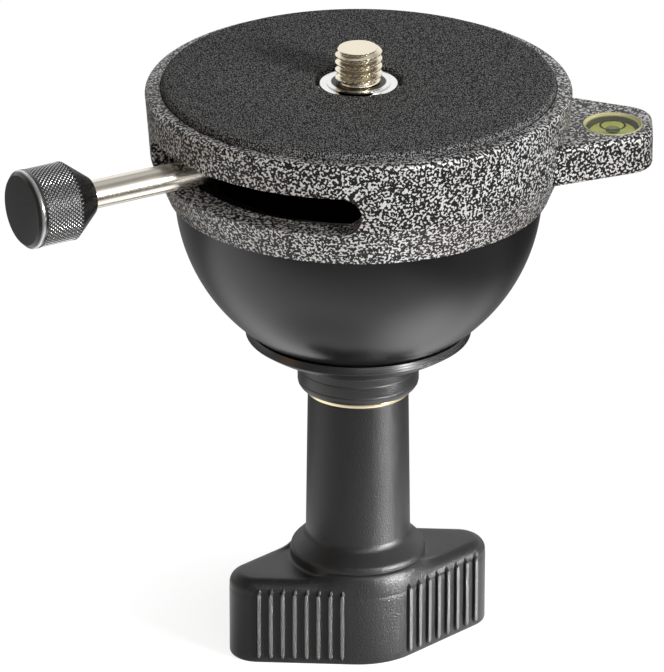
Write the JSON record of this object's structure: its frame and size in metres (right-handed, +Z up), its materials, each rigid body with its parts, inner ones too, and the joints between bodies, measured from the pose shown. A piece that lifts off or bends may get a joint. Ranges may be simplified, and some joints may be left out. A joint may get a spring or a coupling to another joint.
{
  "type": "leveling base",
  "caption": "Half-ball leveling base: round cast head with pad, captive stud, turning lever and bubble level on a half ball, clamped by a dish and a wing-knob handle.",
  "frame": {"origin": "centre of the handle's flat underside, on the axis of the base", "axes": "+Z up along the axis of the base, towards the stud; +X towards the ear with the bubble level"},
  "size_m": [0.1302, 0.0891, 0.1317],
  "materials": {
    "hammertone": "cast aluminium in hammertone paint, black with silver flecks",
    "pad_rubber": "fine textured rubber",
    "black_ball": "cast aluminium in satin black",
    "black_anodised": "black anodised, turned",
    "moulded_plastic": "fine moulded grain",
    "knurled_black": "black anodised diamond knurl",
    "nickel": "nickel plated",
    "bright_steel": "bright plated steel",
    "plain_steel": "turned steel",
    "brass": "plain brass",
    "white_nylon": "natural nylon",
    "clear_acrylic": "clear moulded acrylic",
    "level_liquid": "yellow-green liquid",
    "level_bubble": "air bubble"
  },
  "bodies": {
    "handle": {"handle_body": "moulded_plastic", "handle_insert": "brass"},
    "clamp": {"clamp_dish": "black_anodised", "brass_washer": "brass"},
    "head": {"head_casting": "hammertone", "rubber_pad": "pad_rubber", "half_ball": "black_ball", "ball_screws": "plain_steel", "tie_bolt": "plain_steel", "level_cup": "clear_acrylic", "level_window": "clear_acrylic", "level_liquid": "level_liquid", "level_bubble": "level_bubble"},
    "lever": {"stud_hub": "plain_steel", "mounting_stud": "nickel", "cross_pin": "plain_steel", "thrust_washer": "white_nylon", "support_washer": "bright_steel", "circlip": "bright_steel", "lever_rod": "nickel", "lever_knob": "knurled_black"}
  },
  "joints": [
    {"name": "handle_turn", "type": "hinge", "parent": "handle", "child": "clamp", "pos_m": [0, 0, 0.0565], "axis": [0, 0, 1], "range_deg": [0, 2520]},
    {"name": "clamp_open", "type": "slide", "parent": "clamp", "child": "head", "axis": [0, 0, 1], "range_m": [0, 0.0105]},
    {"name": "lever_swing", "type": "hinge", "parent": "head", "child": "lever", "pos_m": [0, 0, 0.11255], "axis": [0, 0, 1], "range_deg": [-15.5, 55.5]}
  ],
  "couplings": [
    {"joint": "clamp_open", "follows": "handle_turn", "m_per_rad": 0.00023873}
  ]
}
